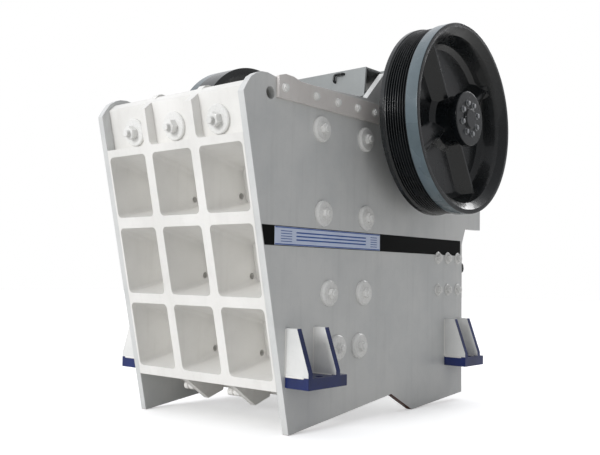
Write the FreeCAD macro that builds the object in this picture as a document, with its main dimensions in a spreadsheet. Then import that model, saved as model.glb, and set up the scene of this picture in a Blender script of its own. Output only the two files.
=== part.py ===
import FreeCAD, Part
import math
import os
import Sketcher

# A single-toggle jaw crusher standing on its frame. Millimetres; front wall towards -Y,
# grooved drive flywheel towards +X, up is +Z, and the floor is at z = 0.

doc = FreeCAD.newDocument("jaw_crusher")
sheet = doc.addObject("Spreadsheet::Sheet", "Sizes")
sheet_row = 0
nodes = []


class Size:
    """A length or number, carried with the sheet formula that gives it."""

    def __init__(self, value, text):
        self.value = value
        self.text = text

    def __add__(self, other):
        other = as_size(other)
        return Size(self.value + other.value, f"({self.text} + {other.text})")

    def __radd__(self, other):
        return as_size(other) + self

    def __sub__(self, other):
        other = as_size(other)
        return Size(self.value - other.value, f"({self.text} - {other.text})")

    def __rsub__(self, other):
        return as_size(other) - self

    def __mul__(self, other):
        other = as_size(other)
        return Size(self.value * other.value, f"({self.text} * {other.text})")

    def __rmul__(self, other):
        return as_size(other) * self

    def __truediv__(self, other):
        other = as_size(other)
        return Size(self.value / other.value, f"({self.text} / {other.text})")

    def __neg__(self):
        return as_size(0) - self


def as_size(x):
    if isinstance(x, Size):
        return x
    return Size(float(x), f"({float(x):.6f})" if x < 0 else f"{float(x):.6f}")


def root(x):
    return Size(math.sqrt(x.value), f"sqrt({x.text})")


def size(alias, value):
    """One driving size: a row of the sheet."""
    global sheet_row
    sheet_row += 1
    sheet.set(f"A{sheet_row}", alias)
    sheet.set(f"B{sheet_row}", str(value))
    sheet.setAlias(f"B{sheet_row}", alias)
    return Size(float(value), f"Sizes.{alias}")


# ---------------------------------------------------------------- driving sizes
length = size("overall_length", 2787)
width = size("frame_width", 1300)
plate = size("plate_thickness", 46)
rake_run = size("front_rake_run", 426)
wall_top = size("front_wall_top", 1930)
crest = wall_top + size("crest_above_wall_top", 88)
crest_run = size("crest_bevel_run", 100)
wall_depth = size("front_wall_depth", 410)
wall_skin = size("front_wall_skin", 58)
wall_foot = size("front_wall_foot", 249)
wall_toe = size("front_wall_toe", 165)
edge_band = size("pocket_edge_band", 61)
rib = size("pocket_rib", 68)
pocket_round = size("pocket_corner_radius", 30)
pocket_rise = size("pocket_floor_rise", 88)
pocket_drop = size("pocket_roof_drop", 92)
row_low_bottom = size("low_pocket_bottom", 308)
row_low_top = size("low_pocket_top", 725)
row_mid_bottom = size("mid_pocket_bottom", 789)
row_mid_top = size("mid_pocket_top", 1210)
row_high_bottom = size("high_pocket_bottom", 1278)
row_high_top = size("high_pocket_top", 1665)
recess_bottom = size("bolt_recess_bottom", 1712)
recess_depth = size("bolt_recess_depth", 64)
recess_rib = size("bolt_recess_rib", 50)
bump_top = crest + size("rib_bump_above_crest", 26)
drain_radius = size("drain_radius", 20)
ear_top = wall_top + size("ear_above_wall_top", 138)
plate_top = size("side_plate_top", 2093)
shaft_y = size("shaft_from_front", 1711)
shaft_z = size("shaft_height", 1984)
pedestal_top = shaft_z + size("pedestal_above_shaft", 316)
lift_radius = size("lifting_hole_radius", 36)
lift_y = size("lifting_hole_from_front", 225)
lift_z = wall_top + size("lifting_hole_above_wall_top", 26)
lift_room = size("lifting_pocket_radius", 52)
lift_deep = size("lifting_pocket_depth", 96)
tail_low = size("tail_underside", 1303)
tail_high = size("tail_top", 1518)
rear_edge = size("rear_edge", 2488)
heel_y = size("heel_from_front", 1769)
notch_y = size("notch_from_front", 1504)
notch_z = size("notch_height", 132)
beam_front = size("beam_front", 2076)
beam_low = size("beam_underside", 770)
beam_high = size("beam_top", 1132)
beam_wall = size("beam_wall", 60)
foot_reach = size("foot_reach", 172)
foot_under = size("foot_underside", 276)
foot_thick = size("foot_plate", 66)
foot_front = size("front_foot_start", 388)
foot_front_len = size("front_foot_length", 368)
foot_rear = size("rear_foot_start", 2220)
foot_rear_len = size("rear_foot_length", 282)
gusset = size("gusset_thickness", 40)
gusset_top = size("gusset_top", 618)
gusset_tip = size("gusset_tip_reach", 85)
foot_hole = size("foot_hole_radius", 21)
die = size("jaw_die_thickness", 78)
tooth = size("jaw_tooth_height", 26)
swing_top = size("swing_face_top", 1245)
swing_low = size("swing_face_low", 1040)
swing_high_z = size("swing_face_top_height", 2060)
swing_low_z = size("swing_face_low_height", 200)
cheek = size("cheek_liner_thickness", 40)
cheek_split = size("cheek_split_height", 1040)
barrel_radius = size("pitman_barrel_radius", 292)
journal = size("journal_radius", 112)
throw = size("eccentric_throw", 16)
lobe = size("eccentric_radius", 146)
housing_radius = size("housing_radius", 262)
housing_flange = size("housing_flange_radius", 318)
wheel_radius = size("flywheel_radius", 637)
wheel_inner = size("flywheel_inner_face", 820)
wheel_width = size("flywheel_width", 276)
wheel_web = size("flywheel_web", 64)
wheel_land = size("flywheel_rim_land", 30)
wheel_rim = size("flywheel_rim_thickness", 84)
wheel_flange = size("flywheel_inboard_flange", 30)
groove_count = 8
groove_pitch = size("groove_pitch", 18)
groove_sunk = size("groove_crest_below_rim", 9)
groove_deep = size("groove_depth", 15)
arm_high = size("arm_height", 84)
arm_wide = size("arm_half_width", 104)
arm_ridge = size("arm_ridge_half_width", 9)
hub_radius = size("hub_radius", 158)
cap_radius = size("hub_cap_radius", 182)
cap_thick = size("hub_cap_thickness", 50)
cap_seat = size("hub_cap_seat_depth", 30)
boss_radius = size("hub_cap_boss_radius", 66)
boss_high = size("hub_cap_boss_height", 14)
hood_half = size("hood_half_width", 580)
hood_top = shaft_z + size("hood_above_shaft", 348)
hood_plate = size("hood_plate", 16)
guard_low = size("guard_underside", 1936)
guard_high = size("guard_top", 2064)
guard_thick = size("guard_thickness", 22)
guard_gap = size("guard_to_lifting_hole", 12)
guard_end = size("guard_rear_end", 1316)
guard_bolt_radius = size("guard_bolt_radius", 28)
guard_bolt_high = size("guard_bolt_height", 20)
washer_radius = size("liner_washer_radius", 80)
washer_thick = size("liner_washer_thickness", 24)
nut_radius = size("liner_nut_radius", 31)
nut_high = size("liner_nut_height", 38)
beam_washer = size("beam_washer_radius", 44)
beam_washer_thick = size("beam_washer_thickness", 8)
beam_nut = size("beam_nut_radius", 28)
beam_nut_high = size("beam_nut_height", 26)
jaw_washer = size("jaw_washer_radius", 88)
jaw_washer_thick = size("jaw_washer_thickness", 18)
jaw_nut = size("jaw_nut_radius", 40)
jaw_nut_top = size("jaw_nut_top", 64)
jaw_stud = size("jaw_stud_radius", 22)
jaw_stud_top = size("jaw_stud_top", 87)
jaw_bolt_pitch = size("jaw_bolt_pitch", 375)
toggle_thick = size("toggle_thickness", 70)
rod_radius = size("tension_rod_radius", 27)

# ---------------------------------------------------------------- derived places
RUNNING = 0.05          # radial running clearance
SEAT_GAP = 0.3          # between curved faces of separate parts
slope = rake_run / wall_top
slant = root(rake_run * rake_run + wall_top * wall_top) / wall_top
half = width / 2
inner = half - plate
pocket_width = (width - 2 * edge_band - 2 * rib) / 3
pocket_pitch = pocket_width + rib
swing_slope = (swing_top - swing_low) / (swing_high_z - swing_low_z)
wheel_outer = wheel_inner + wheel_width
cheek_face = inner - cheek
jaw_half = cheek_face - 7


def across(y):
    """Distance back from the front-top edge, turned into the frame's Y."""
    return as_size(y) - length / 2


def front(z):
    """Distance back to the raked front face at height z."""
    return rake_run - slope * z


def swing(z):
    """Distance back to the swing jaw's working face at height z."""
    return swing_low + swing_slope * (as_size(z) - swing_low_z)


# ---------------------------------------------------------------- modelling helpers
def origin_plane(body, role):
    for item in body.Origin.OriginFeatures:
        if item.Role == role:
            return item
    raise RuntimeError(role)


def new_body(label):
    body = doc.addObject("PartDesign::Body", label)
    body.Label = label
    nodes.append(body)
    return body


def new_sketch(body, role, offset=0.0, tilt=None, lift=0.0):
    """A sketch on an origin plane, moved along the plane's normal and perhaps tilted."""
    sk = body.newObject("Sketcher::SketchObject", "Outline")
    sk.AttachmentSupport = [(origin_plane(body, role), "")]
    sk.MapMode = "FlatFace"
    offset = as_size(offset)
    turn = FreeCAD.Rotation(FreeCAD.Vector(1, 0, 0), 0)
    if tilt is not None:
        turn = FreeCAD.Rotation(FreeCAD.Vector(1, 0, 0), math.degrees(math.atan(tilt.value)))
    lift = as_size(lift)
    sk.AttachmentOffset = FreeCAD.Placement(FreeCAD.Vector(0, lift.value, offset.value), turn)
    sk.setExpression("AttachmentOffset.Base.y", lift.text)
    sk.setExpression("AttachmentOffset.Base.z", offset.text)
    if tilt is not None:
        sk.setExpression("AttachmentOffset.Rotation.Angle", f"atan({tilt.text})")
    return sk


def pin(sk, index, end, u, v):
    """Fix one point of the sketch at two sheet-driven distances."""
    for kind, distance in (("DistanceX", as_size(u)), ("DistanceY", as_size(v))):
        n = sk.addConstraint(Sketcher.Constraint(kind, -1, 1, index, end, distance.value))
        sk.setExpression(f"Constraints[{n}]", distance.text)


def polygon(sk, points):
    points = [(as_size(u), as_size(v)) for u, v in points]
    first = sk.GeometryCount
    count = len(points)
    for i in range(count):
        a = points[i]
        b = points[(i + 1) % count]
        start = FreeCAD.Vector(a[0].value, a[1].value, 0)
        finish = FreeCAD.Vector(b[0].value, b[1].value, 0)
        sk.addGeometry(Part.LineSegment(start, finish), False)
    for i in range(count):
        nxt = first + (i + 1) % count
        sk.addConstraint(Sketcher.Constraint("Coincident", first + i, 2, nxt, 1))
    for i in range(count):
        pin(sk, first + i, 1, *points[i])


def circle(sk, u, v, radius):
    u, v, radius = as_size(u), as_size(v), as_size(radius)
    centre = FreeCAD.Vector(u.value, v.value, 0)
    g = sk.addGeometry(Part.Circle(centre, FreeCAD.Vector(0, 0, 1), radius.value), False)
    pin(sk, g, 3, u, v)
    n = sk.addConstraint(Sketcher.Constraint("Radius", g, radius.value))
    sk.setExpression(f"Constraints[{n}]", radius.text)


def rounded_box(sk, u0, u1, v0, v1, r):
    """A rectangle with four round corners."""
    u0, u1, v0, v1, r = [as_size(x) for x in (u0, u1, v0, v1, r)]
    corners = [(u0, v0, 180), (u1, v0, 270), (u1, v1, 0), (u0, v1, 90)]
    inward = [(1, 1), (-1, 1), (-1, -1), (1, -1)]
    arcs = []
    for (u, v, start), (su, sv) in zip(corners, inward):
        cu = u + su * r
        cv = v + sv * r
        ring = Part.Circle(FreeCAD.Vector(cu.value, cv.value, 0), FreeCAD.Vector(0, 0, 1), r.value)
        arc = Part.ArcOfCircle(ring, math.radians(start), math.radians(start + 90))
        g = sk.addGeometry(arc, False)
        pin(sk, g, 3, cu, cv)
        n = sk.addConstraint(Sketcher.Constraint("Radius", g, r.value))
        sk.setExpression(f"Constraints[{n}]", r.text)
        arcs.append(g)
    for i in range(4):
        a = sk.getPoint(arcs[i], 2)
        b = sk.getPoint(arcs[(i + 1) % 4], 1)
        g = sk.addGeometry(Part.LineSegment(a, b), False)
        sk.addConstraint(Sketcher.Constraint("Tangent", arcs[i], 2, g, 1))
        sk.addConstraint(Sketcher.Constraint("Tangent", g, 2, arcs[(i + 1) % 4], 1))


def pad(body, sk, long, both=False):
    feature = body.newObject("PartDesign::Pad", "Pad")
    feature.Profile = sk
    feature.Length = as_size(long).value
    feature.setExpression("Length", as_size(long).text)
    feature.Midplane = both
    sk.Visibility = False
    doc.recompute()
    return feature


def pocket(body, sk, long, both=False, back=False):
    before = body.Shape.Volume
    feature = body.newObject("PartDesign::Pocket", "Pocket")
    feature.Profile = sk
    feature.Length = as_size(long).value
    feature.setExpression("Length", as_size(long).text)
    feature.Midplane = both
    feature.Reversed = back
    sk.Visibility = False
    doc.recompute()
    if not body.Shape.Volume < before - 1:
        raise RuntimeError(f"{body.Label}: the cut removed nothing")
    return feature


def slab(body, points, x_from, thick):
    """A side outline (Y, Z), thickened towards +X from x_from."""
    sk = new_sketch(body, "YZ_Plane", x_from)
    polygon(sk, [(across(y), z) for y, z in points])
    return pad(body, sk, thick)


def cross_slab(body, points, total):
    """A side outline (Y, Z), thickened evenly about the middle plane."""
    sk = new_sketch(body, "YZ_Plane")
    polygon(sk, [(across(y), z) for y, z in points])
    return pad(body, sk, total, both=True)


def disc(body, y, z, radius, x_from, thick):
    sk = new_sketch(body, "YZ_Plane", x_from)
    circle(sk, across(y), z, radius)
    return pad(body, sk, thick)


def drill(body, places, radius, x_from, deep):
    """Round holes along X, cut from x_from towards -X."""
    sk = new_sketch(body, "YZ_Plane", x_from)
    for y, z in places:
        circle(sk, across(y), z, radius)
    return pocket(body, sk, deep)


def turned_x(body, outline):
    """An outline (X, radius) turned about the shaft line."""
    sk = new_sketch(body, "XZ_Plane", length / 2 - shaft_y)
    polygon(sk, [(x, shaft_z + r) for x, r in outline])
    low = FreeCAD.Vector(-100, shaft_z.value, 0)
    high = FreeCAD.Vector(100, shaft_z.value, 0)
    g = sk.addGeometry(Part.LineSegment(low, high), True)
    pin(sk, g, 1, -100, shaft_z)
    pin(sk, g, 2, 100, shaft_z)
    feature = body.newObject("PartDesign::Revolution", "Turned")
    feature.Profile = sk
    feature.ReferenceAxis = (sk, ["Axis0"])
    feature.Angle = 360
    sk.Visibility = False
    doc.recompute()
    return feature


def turned_slanted(body, start, finish, outline, kind="PartDesign::Revolution"):
    """An outline (distance from start, radius) turned about a slanted line in the middle plane."""
    (y0, z0), (y1, z1) = start, finish
    dy = as_size(y1) - y0
    dz = as_size(z1) - z0
    run = root(dy * dy + dz * dz)
    uy, uz = dy / run, dz / run
    sk = new_sketch(body, "YZ_Plane")
    places = [(across(y0) + uy * s - uz * r, as_size(z0) + uz * s + uy * r) for s, r in outline]
    polygon(sk, places)
    a = (across(y0), as_size(z0))
    b = (across(y1), as_size(z1))
    g = sk.addGeometry(
        Part.LineSegment(
            FreeCAD.Vector(a[0].value, a[1].value, 0), FreeCAD.Vector(b[0].value, b[1].value, 0)
        ),
        True,
    )
    pin(sk, g, 1, *a)
    pin(sk, g, 2, *b)
    feature = body.newObject(kind, "Turned")
    feature.Profile = sk
    feature.ReferenceAxis = (sk, ["Axis0"])
    feature.Angle = 360
    sk.Visibility = False
    doc.recompute()
    return feature


def bolt_on_side(body, y, z, side, face, washer_r, washer_t, nut_r, nut_h):
    """A washer and a plain nut standing on a side face; side is +1 or -1."""
    start = face if side > 0 else -(face + washer_t)
    disc(body, y, z, washer_r, start, washer_t)
    total = washer_t + nut_h
    start = face if side > 0 else -(face + total)
    disc(body, y, z, nut_r, start, total)


SIDES = (("right", 1), ("left", -1))


def lowest(face, thick, side):
    """Where a part between face and face + thick starts along X, on either side."""
    return face if side > 0 else -(as_size(face) + thick)


# ---------------------------------------------------------------- front wall: one casting
wall = new_body("front_wall")
cross_slab(
    wall,
    [
        (front(wall_foot), wall_foot),
        (front(wall_top), wall_top),
        (crest_run, crest),
        (front(crest) + wall_depth, crest),
        (front(wall_toe) + wall_depth, wall_toe),
        (front(wall_toe) + wall_depth - wall_skin, wall_toe),
        (front(wall_foot) + wall_depth - wall_skin, wall_foot),
    ],
    2 * inner,
)
columns = [-1, 0, 1]
pocket_deep = wall_depth - wall_skin
rows = (
    (row_low_bottom, row_low_top),
    (row_mid_bottom, row_mid_top),
    (row_high_bottom, row_high_top),
)
back_level = length / 2 - rake_run - pocket_deep / (slant * slant)
back_lift = pocket_deep * slope / (slant * slant)
for low, high in rows:
    for column in columns:
        middle = column * pocket_pitch
        mouth = new_sketch(wall, "XZ_Plane", length / 2 - rake_run, tilt=slope)
        rounded_box(
            mouth,
            middle - pocket_width / 2,
            middle + pocket_width / 2,
            low * slant,
            high * slant,
            pocket_round,
        )
        back = new_sketch(wall, "XZ_Plane", back_level, tilt=slope, lift=back_lift)
        sink = pocket_deep * slope / slant
        rounded_box(
            back,
            middle - pocket_width / 2 + 4,
            middle + pocket_width / 2 - 4,
            (low + pocket_rise) * slant - sink,
            (high - pocket_drop) * slant - sink,
            pocket_round,
        )
        before = wall.Shape.Volume
        hollow = wall.newObject("PartDesign::SubtractiveLoft", "Bay")
        hollow.Profile = mouth
        hollow.Sections = [back]
        hollow.Ruled = True
        mouth.Visibility = False
        back.Visibility = False
        doc.recompute()
        if not wall.Shape.Volume < before - 1:
            raise RuntimeError("front_wall: a bay removed nothing")
shallow = new_sketch(wall, "XZ_Plane", length / 2 - rake_run, tilt=slope)
recess_edge = pocket_pitch / 2 + recess_rib / 2
recess_span = (-inner - 60, -recess_edge, -recess_edge + recess_rib, recess_edge - recess_rib)
recess_span += (recess_edge, inner + 60)
for i in range(3):
    rounded_box(
        shallow,
        recess_span[2 * i],
        recess_span[2 * i + 1],
        recess_bottom * slant,
        (crest + 90) * slant,
        pocket_round,
    )
pocket(wall, shallow, recess_depth)
drains = new_sketch(wall, "YZ_Plane")
drain_in = pocket_deep - drain_radius - 20
for low, high in rows:
    z = low + pocket_rise * drain_in / pocket_deep + drain_radius + 26
    circle(drains, across(front(z) + drain_in), z, drain_radius)
pocket(wall, drains, pocket_pitch + 2 * rib, both=True)

bump = [
    (crest_run - 30, crest - 40),
    (crest_run - 18, crest - 14),
    (crest_run + 12, bump_top - 8),
    (crest_run + 40, bump_top),
    (crest_run + 76, bump_top - 4),
    (crest_run + 130, crest - 1),
    (crest_run + 130, crest - 40),
]
keel = [
    (front(wall_foot) + 14, wall_foot + 10),
    (606, 106),
    (742, 148),
    (front(wall_toe) + wall_depth - wall_skin + 4, wall_toe + 3),
    (front(wall_foot) + wall_depth - wall_skin + 4, wall_foot + 10),
]
for side in (-1, 1):
    start = side * pocket_pitch / 2 - rib / 2
    slab(wall, bump, side * pocket_pitch / 2 - recess_rib / 2, recess_rib)
    slab(wall, keel, start + 12, rib - 24)

lift_rooms = new_sketch(wall, "YZ_Plane", inner + 1)
circle(lift_rooms, across(lift_y), lift_z, lift_room)
pocket(wall, lift_rooms, lift_deep)
lift_rooms = new_sketch(wall, "YZ_Plane", -inner - 1)
circle(lift_rooms, across(lift_y), lift_z, lift_room)
pocket(wall, lift_rooms, lift_deep, back=True)

# ---------------------------------------------------------------- side plates
plate_outline = [
    (rake_run, 0),
    (0, wall_top),
    (26, wall_top + 43),
    (62, wall_top + 91),
    (104, ear_top - 20),
    (146, ear_top - 4),
    (200, ear_top),
    (265, ear_top - 10),
    (1185, plate_top),
    (1185 + pedestal_top - plate_top, pedestal_top),
    (2 * shaft_y - 1185 - pedestal_top + plate_top, pedestal_top),
    (2260, 2090),
    (2560, tail_high + 22),
    (length, tail_high),
    (length, tail_low),
    (2543, tail_low - 2),
    (rear_edge, 1180),
    (rear_edge, 55),
    (heel_y, 0),
    (notch_y, notch_z),
]
liner_bolts = [
    (697, 1814),
    (1165, 1814),
    (725, 1300),
    (1180, 1300),
    (790, 815),
    (1158, 815),
    (882, 478),
    (1114, 478),
]
beam_bolts = [(y, z) for y in (2120, 2263, 2415) for z in (833, 1068)]
guard_bolts = [(y, 2000) for y in (327, 618, 838, 1048, 1245)]
for word, side in SIDES:
    body = new_body(f"{word}_side_plate")
    slab(body, plate_outline, lowest(inner, plate, side), plate)
    end = half + 5 if side > 0 else 5 - inner
    drill(body, [(shaft_y, shaft_z)], housing_radius + SEAT_GAP, end, plate + 10)
    drill(body, [(lift_y, lift_z)], lift_radius, end, plate + 10)

# ---------------------------------------------------------------- rear crossbeam
beam = new_body("rear_crossbeam")
beam_back = rear_edge - 12
cross_slab(
    beam,
    [
        (beam_front, beam_low),
        (beam_back, beam_low),
        (beam_back, beam_high),
        (beam_front, beam_high),
    ],
    2 * inner,
)
bay_wide = (2 * inner - 5 * 44) / 4
hollow = new_sketch(beam, "XZ_Plane", length / 2 - beam_back)
for i in range(4):
    near = -inner + 44 + (bay_wide + 44) * i
    rounded_box(
        hollow, near, near + bay_wide, beam_low + beam_wall, beam_high - beam_wall, pocket_round
    )
pocket(beam, hollow, beam_back - beam_front - beam_wall, back=True)

# The toggle runs from a seat low on the pitman up to a seat on the crossbeam.
toggle_low = (as_size(1392), as_size(430))
toggle_high = (beam_front - 34, beam_low + 104)
toggle_dy = toggle_high[0] - toggle_low[0]
toggle_dz = toggle_high[1] - toggle_low[1]
toggle_run = root(toggle_dy * toggle_dy + toggle_dz * toggle_dz)
along_y = toggle_dy / toggle_run
along_z = toggle_dz / toggle_run


def on_toggle(end, along, aside):
    """A point beside one end of the toggle: along its length and square to it."""
    y, z = end
    return (y + along_y * along - along_z * aside, z + along_z * along + along_y * aside)


cross_slab(
    beam,
    [
        on_toggle(toggle_high, 0, -60),
        (beam_front + 20, beam_low + 8),
        (beam_front + 20, beam_low + 190),
        on_toggle(toggle_high, 0, 60),
    ],
    900,
)
rod_start = (as_size(1290), as_size(300))
rod_finish = (as_size(2600), as_size(560))
rod_dy = rod_finish[0] - rod_start[0]
rod_dz = rod_finish[1] - rod_start[1]
rod_run = root(rod_dy * rod_dy + rod_dz * rod_dz)
first_coil = as_size(1028)


def on_rod(along, aside):
    """A point beside the tension rod: along it from its start and square to it."""
    y = rod_start[0] + rod_dy / rod_run * along - rod_dz / rod_run * aside
    return (y, rod_start[1] + rod_dz / rod_run * along + rod_dy / rod_run * aside)


for start in (-105, rod_radius + 8):
    slab(
        beam,
        [
            on_rod(first_coil - 28, -62),
            on_rod(first_coil, -62),
            on_rod(first_coil, 296),
            on_rod(first_coil - 28, 296),
        ],
        start,
        105 - rod_radius - 8,
    )

# ---------------------------------------------------------------- feet
for word, side in SIDES:
    for place, start, run in (
        ("front", foot_front, foot_front_len),
        ("rear", foot_rear, foot_rear_len),
    ):
        body = new_body(f"{word}_{place}_foot")
        slab(
            body,
            [
                (start, foot_under),
                (start + run, foot_under),
                (start + run, foot_under + foot_thick),
                (start, foot_under + foot_thick),
            ],
            lowest(half, foot_reach, side),
            foot_reach,
        )
        for gap in (0, 0.79 * (run - gusset)):
            near = start + gap
            sk = new_sketch(body, "XZ_Plane", length / 2 - near - gusset)
            base = foot_under + foot_thick - 1
            outline = [
                (side * half, base),
                (side * (half + foot_reach), base),
                (side * (half + foot_reach), base + 30),
                (side * (half + gusset_tip), gusset_top),
                (side * half, gusset_top),
            ]
            polygon(sk, outline)
            pad(body, sk, gusset)
        holes = new_sketch(body, "XY_Plane", foot_under + foot_thick + 5)
        circle(
            holes, side * (half + foot_reach - 46), across(start + gusset + (run - gusset) * 0.36),
            foot_hole,
        )
        pocket(body, holes, foot_thick + 10)

# ---------------------------------------------------------------- guards along the top edges
guard_start = lift_y + lift_radius + guard_gap
guard_outline = [
    (guard_start, guard_low),
    (guard_end, guard_low),
    (guard_end, guard_high),
    (guard_start + 200, guard_high),
    (guard_start + 130, guard_high + 16),
    (guard_start + 60, guard_high + 18),
    (guard_start, guard_high),
]
for word, side in SIDES:
    body = new_body(f"{word}_top_guard")
    slab(body, guard_outline, lowest(half, guard_thick, side), guard_thick)
    body = new_body(f"{word}_guard_bolts")
    for y, z in guard_bolts:
        start = half + guard_thick
        disc(body, y, z, guard_bolt_radius, lowest(start, guard_bolt_high, side), guard_bolt_high)

# ---------------------------------------------------------------- bolts through the side plates
for word, side in SIDES:
    body = new_body(f"{word}_liner_bolts")
    for y, z in liner_bolts:
        bolt_on_side(body, y, z, side, half, washer_radius, washer_thick, nut_radius, nut_high)
    body = new_body(f"{word}_beam_bolts")
    for y, z in beam_bolts:
        bolt_on_side(
            body, y, z, side, half, beam_washer, beam_washer_thick, beam_nut, beam_nut_high
        )

# ---------------------------------------------------------------- bolts that hold the fixed jaw
jaw_bolts = new_body("jaw_bolts")
jaw_bolt_rise = recess_bottom * slant + jaw_washer + 4
recess_back = length / 2 - rake_run - recess_depth / slant
recess_lift = recess_depth * slope / slant
stack = ((jaw_washer_thick, jaw_washer), (jaw_nut_top, jaw_nut), (jaw_stud_top, jaw_stud))
for thick, radius in stack:
    sk = new_sketch(jaw_bolts, "XZ_Plane", recess_back, tilt=slope, lift=recess_lift)
    for column in columns:
        circle(sk, column * jaw_bolt_pitch, jaw_bolt_rise, radius)
    pad(jaw_bolts, sk, thick)

# ---------------------------------------------------------------- wearing plates of the jaws
fixed_low = as_size(190)
fixed_high = as_size(1900)


def back_of_wall(z):
    return front(z) + wall_depth


fixed = new_body("fixed_jaw_die")
plain_die = die - tooth
cross_slab(
    fixed,
    [
        (back_of_wall(fixed_low), fixed_low),
        (back_of_wall(fixed_high), fixed_high),
        (back_of_wall(fixed_high) + plain_die, fixed_high),
        (back_of_wall(fixed_low) + plain_die, fixed_low),
    ],
    2 * jaw_half,
)
tooth_count = 10
tooth_pitch = 2 * jaw_half / tooth_count
for i in range(tooth_count):
    middle = -jaw_half + tooth_pitch * (i + 0.5)
    slab(
        fixed,
        [
            (back_of_wall(fixed_low) + plain_die - 1, fixed_low),
            (back_of_wall(fixed_high) + plain_die - 1, fixed_high),
            (back_of_wall(fixed_high) + die, fixed_high),
            (back_of_wall(fixed_low) + die, fixed_low),
        ],
        middle - tooth_pitch * 0.28,
        tooth_pitch * 0.56,
    )

swinging = new_body("swing_jaw_die")
cross_slab(
    swinging,
    [
        (swing(swing_low_z) + tooth, swing_low_z),
        (swing(swing_high_z) + tooth, swing_high_z),
        (swing(swing_high_z) + die, swing_high_z),
        (swing(swing_low_z) + die, swing_low_z),
    ],
    2 * jaw_half,
)
for i in range(tooth_count - 1):
    middle = -jaw_half + tooth_pitch * (i + 1)
    slab(
        swinging,
        [
            (swing(swing_low_z), swing_low_z),
            (swing(swing_high_z), swing_high_z),
            (swing(swing_high_z) + tooth + 1, swing_high_z),
            (swing(swing_low_z) + tooth + 1, swing_low_z),
        ],
        middle - tooth_pitch * 0.28,
        tooth_pitch * 0.56,
    )

# ---------------------------------------------------------------- cheek liners on the side plates
for word, side in SIDES:
    for place, low, high in (
        ("lower", as_size(210), cheek_split - 3),
        ("upper", cheek_split + 3, as_size(1905)),
    ):
        body = new_body(f"{word}_{place}_cheek_liner")
        outline = [
            (back_of_wall(low) + 4, low),
            (back_of_wall(high) + 4, high),
            (swing(high) + 96, high),
            (swing(low) + 110, low),
        ]
        slab(body, outline, lowest(cheek_face, cheek, side), cheek)

# ---------------------------------------------------------------- pitman: one casting
pitman = new_body("pitman")
pitman_half = jaw_half - 12
cross_slab(
    pitman,
    [
        (swing(swing_low_z - 6) + die, swing_low_z - 6),
        (swing(swing_high_z + 50) + die, swing_high_z + 50),
        (shaft_y - 150, shaft_z + barrel_radius - 60),
        (shaft_y + 60, shaft_z - 40),
        (1500, 1350),
        (1420, 620),
        on_toggle(toggle_low, 0, 60),
        on_toggle(toggle_low, 0, -60),
        (1300, swing_low_z - 6),
    ],
    2 * pitman_half,
)
disc(pitman, shaft_y, shaft_z, barrel_radius, -pitman_half, 2 * pitman_half)
rib_cut = new_sketch(pitman, "YZ_Plane", pitman_half - 50)
polygon(
    rib_cut,
    [
        (across(swing(700) + die + 90), 700),
        (across(1600), 700),
        (across(1700), 1560),
        (across(swing(1560) + die + 90), 1560),
    ],
)
bay = (2 * pitman_half - 250) / 4
pocket(pitman, rib_cut, bay)
for i in range(1, 4):
    sk = new_sketch(pitman, "YZ_Plane", pitman_half - 50 - (bay + 50) * i)
    polygon(
        sk,
        [
            (across(swing(700) + die + 90), 700),
            (across(1600), 700),
            (across(1700), 1560),
            (across(swing(1560) + die + 90), 1560),
        ],
    )
    pocket(pitman, sk, bay)
bore = lobe + throw + 6
drill(pitman, [(shaft_y, shaft_z)], bore, pitman_half + 5, 2 * pitman_half + 10)
before = pitman.Shape.Volume
turned_slanted(
    pitman,
    rod_start,
    rod_finish,
    [(0, 0), (0, rod_radius + SEAT_GAP), (400, rod_radius + SEAT_GAP), (400, 0)],
    kind="PartDesign::Groove",
)
if not pitman.Shape.Volume < before - 1:
    raise RuntimeError("pitman: the rod hole removed nothing")

# ---------------------------------------------------------------- cover over the pitman
hood = new_body("pitman_hood")
hood_outline = [
    (1250, 2129),
    (1271, hood_top),
    (2080, hood_top),
    (2170, 2230),
    (2158, 2218),
    (2074, hood_top - hood_plate),
    (1271 + hood_plate, hood_top - hood_plate),
    (1250 + hood_plate, 2129),
]
cross_slab(hood, hood_outline, 2 * hood_half)
foot_strip = [
    (1440, pedestal_top),
    (1980, pedestal_top),
    (1980, hood_top - hood_plate + 1),
    (1440, hood_top - hood_plate + 1),
]
for side in (-1, 1):
    near = inner + 1 if side > 0 else -(inner + 17)
    slab(hood, foot_strip, near, 16)
    strap = [
        (1440, hood_top - hood_plate),
        (1980, hood_top - hood_plate),
        (1980, hood_top),
        (1440, hood_top),
    ]
    near = hood_half - 2 if side > 0 else -(inner + 17)
    slab(hood, strap, near, inner + 17 - hood_half + 2)

# ---------------------------------------------------------------- shaft, housings, flywheels
shaft = new_body("eccentric_shaft")
shaft_end = wheel_outer - 40
turned_x(shaft, [(-shaft_end, 0), (-shaft_end, journal), (shaft_end, journal), (shaft_end, 0)])
sk = new_sketch(shaft, "YZ_Plane")
circle(sk, across(shaft_y - throw), shaft_z, lobe)
pad(shaft, sk, 2 * pitman_half - 20, both=True)

for word, side in SIDES:
    body = new_body(f"{word}_bearing_housing")
    s = side
    turned_x(
        body,
        [
            (s * (inner - 30), journal + RUNNING),
            (s * (inner - 30), housing_radius),
            (s * half, housing_radius),
            (s * half, housing_flange),
            (s * (half + 40), housing_flange),
            (s * (half + 40), housing_radius - 30),
            (s * (half + 110), housing_radius - 50),
            (s * (half + 110), journal + 60),
            (s * (half + 150), journal + 50),
            (s * (half + 150), journal + RUNNING),
        ],
    )


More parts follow.
